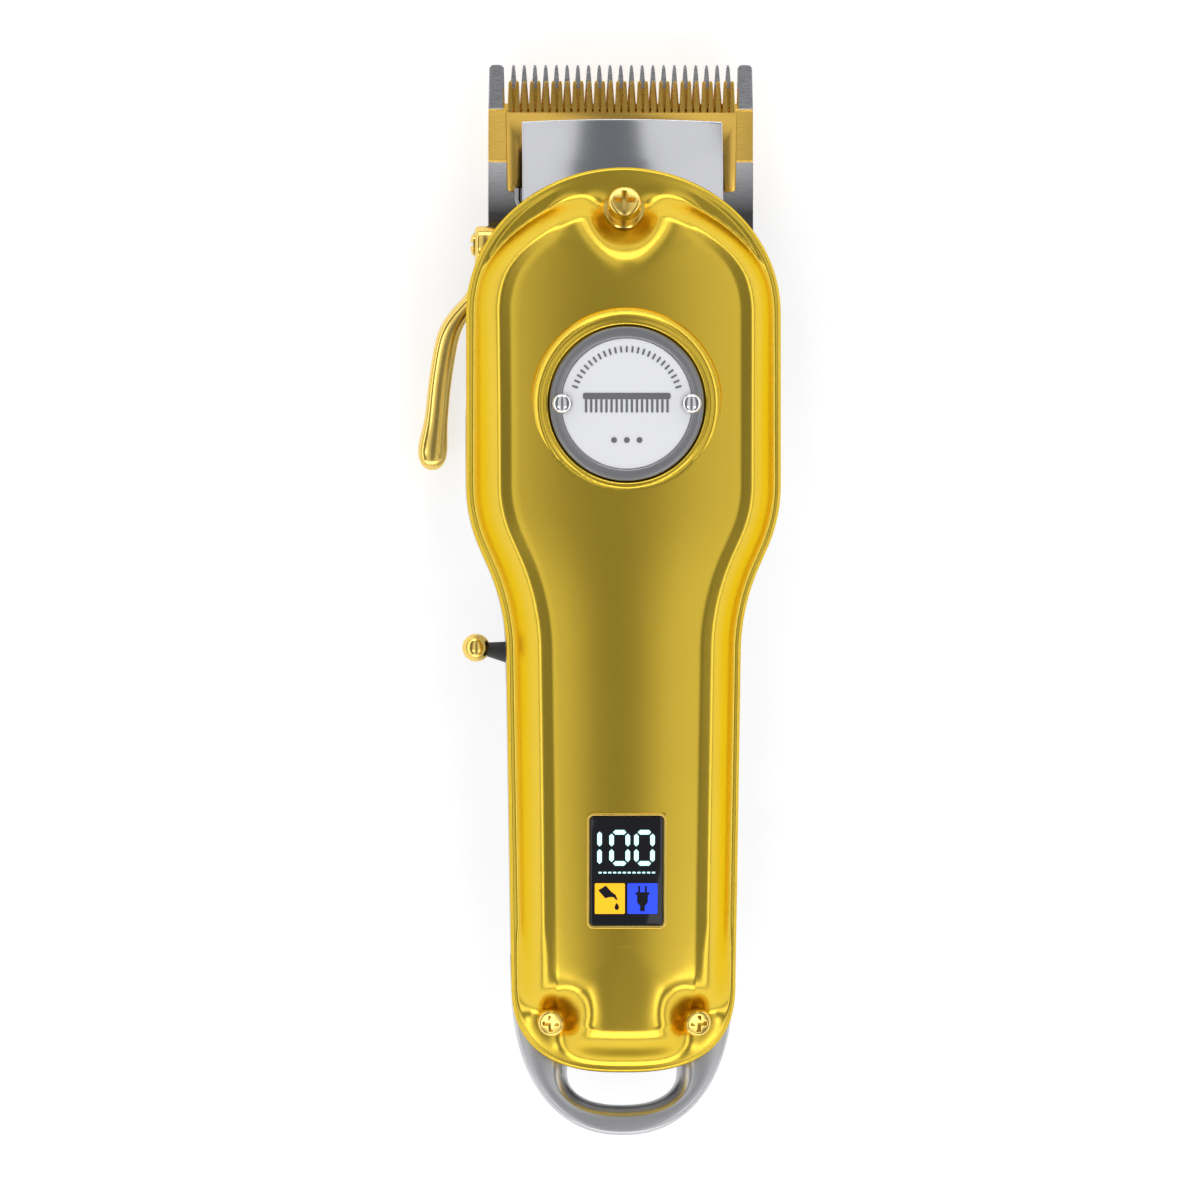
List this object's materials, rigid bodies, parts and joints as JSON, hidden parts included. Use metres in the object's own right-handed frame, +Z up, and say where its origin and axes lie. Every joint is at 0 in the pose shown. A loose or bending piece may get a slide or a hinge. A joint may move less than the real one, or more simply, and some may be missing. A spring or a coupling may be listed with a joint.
{
  "type": "hair clipper",
  "caption": "Cordless hair clipper with a gold front shell, taper lever, power toggle, charge display, comb and cutter blades and a hanging loop.",
  "frame": {"origin": "centre of the flat pad on the back, half way along the length, where the clipper rests when it lies on its back", "axes": "+Y towards the blade tips, +Z up out of the front shell, +X to the right seen from the front (the taper lever is on the -X side)"},
  "size_m": [0.0624, 0.186, 0.0385],
  "materials": {
    "gold_shell": "satin gold",
    "silver_case": "satin silver",
    "grey_metal": "brushed",
    "white_enamel": "gloss white",
    "chrome_trim": "polished",
    "gold_trim": "polished gold",
    "black_lens": "gloss",
    "circuit_board": "solder mask",
    "blade_steel": "ground",
    "gold_blade": "gold coated",
    "chrome_cover": "polished",
    "black_plastic": "moulded",
    "white_plastic": "moulded",
    "motor_steel": "plated",
    "brass_fitting": "turned",
    "cell_wrap": "shrink wrap"
  },
  "bodies": {
    "housing": {"front_shell": "gold_shell", "rear_shell": "silver_case", "hanging_loop": "silver_case", "badge_ring": "grey_metal", "badge_disc": "white_enamel", "badge_rivet_left": "chrome_trim", "badge_rivet_right": "chrome_trim", "display_bezel": "gold_trim", "display_lens": "black_lens", "display_board": "circuit_board", "blade_spring": "blade_steel", "blade_cover": "chrome_cover", "blade_bridge": "black_plastic", "taper_bush": "black_plastic", "motor_can": "motor_steel", "motor_end_cap": "black_plastic", "motor_bracket": "motor_steel", "motor_screw_left": "motor_steel", "motor_screw_right": "motor_steel", "toggle_switch_body": "black_plastic", "battery_cell": "cell_wrap", "battery_tab_front": "motor_steel", "battery_tab_rear": "motor_steel", "main_board": "circuit_board", "charging_socket": "black_plastic", "charging_pin": "motor_steel", "case_screw_top": "gold_trim", "case_screw_left": "gold_trim", "case_screw_right": "gold_trim"},
    "cutter": {"cutter_blade": "gold_blade", "blade_driver": "white_plastic"},
    "comb": {"comb_blade": "blade_steel", "blade_screw_left": "blade_steel", "blade_screw_right": "blade_steel", "blade_carrier": "black_plastic"},
    "taper_lever": {"taper_lever": "gold_trim", "taper_lever_screw": "gold_trim", "taper_cam": "blade_steel"},
    "rotor": {"motor_shaft": "motor_steel", "eccentric_cam": "brass_fitting", "eccentric_bearing": "motor_steel"},
    "power_toggle": {"toggle_arm": "black_plastic", "toggle_ball": "gold_trim"}
  },
  "joints": [
    {"name": "motor_spin", "type": "hinge", "parent": "housing", "child": "rotor", "pos_m": [0, 0.045, 0.0155], "axis": [0, 1, 0], "continuous": true},
    {"name": "cutter_slide", "type": "slide", "parent": "housing", "child": "cutter", "axis": [1, 0, 0], "range_m": [-0.001, 0.001]},
    {"name": "taper_lever_turn", "type": "hinge", "parent": "housing", "child": "taper_lever", "pos_m": [-0.0234, 0.0616, 0.0178], "axis": [-1, 0, 0], "range_deg": [0, 27]},
    {"name": "comb_slide", "type": "slide", "parent": "housing", "child": "comb", "axis": [0, -1, 0], "range_m": [0, 0.0015]},
    {"name": "power_toggle_turn", "type": "hinge", "parent": "housing", "child": "power_toggle", "pos_m": [-0.0173, -0.0095, 0.017], "axis": [0, 0, 1], "range_deg": [0, 16]}
  ],
  "couplings": [
    {"joint": "taper_lever_turn", "follows": "comb_slide", "rad_per_m": 314.1}
  ]
}
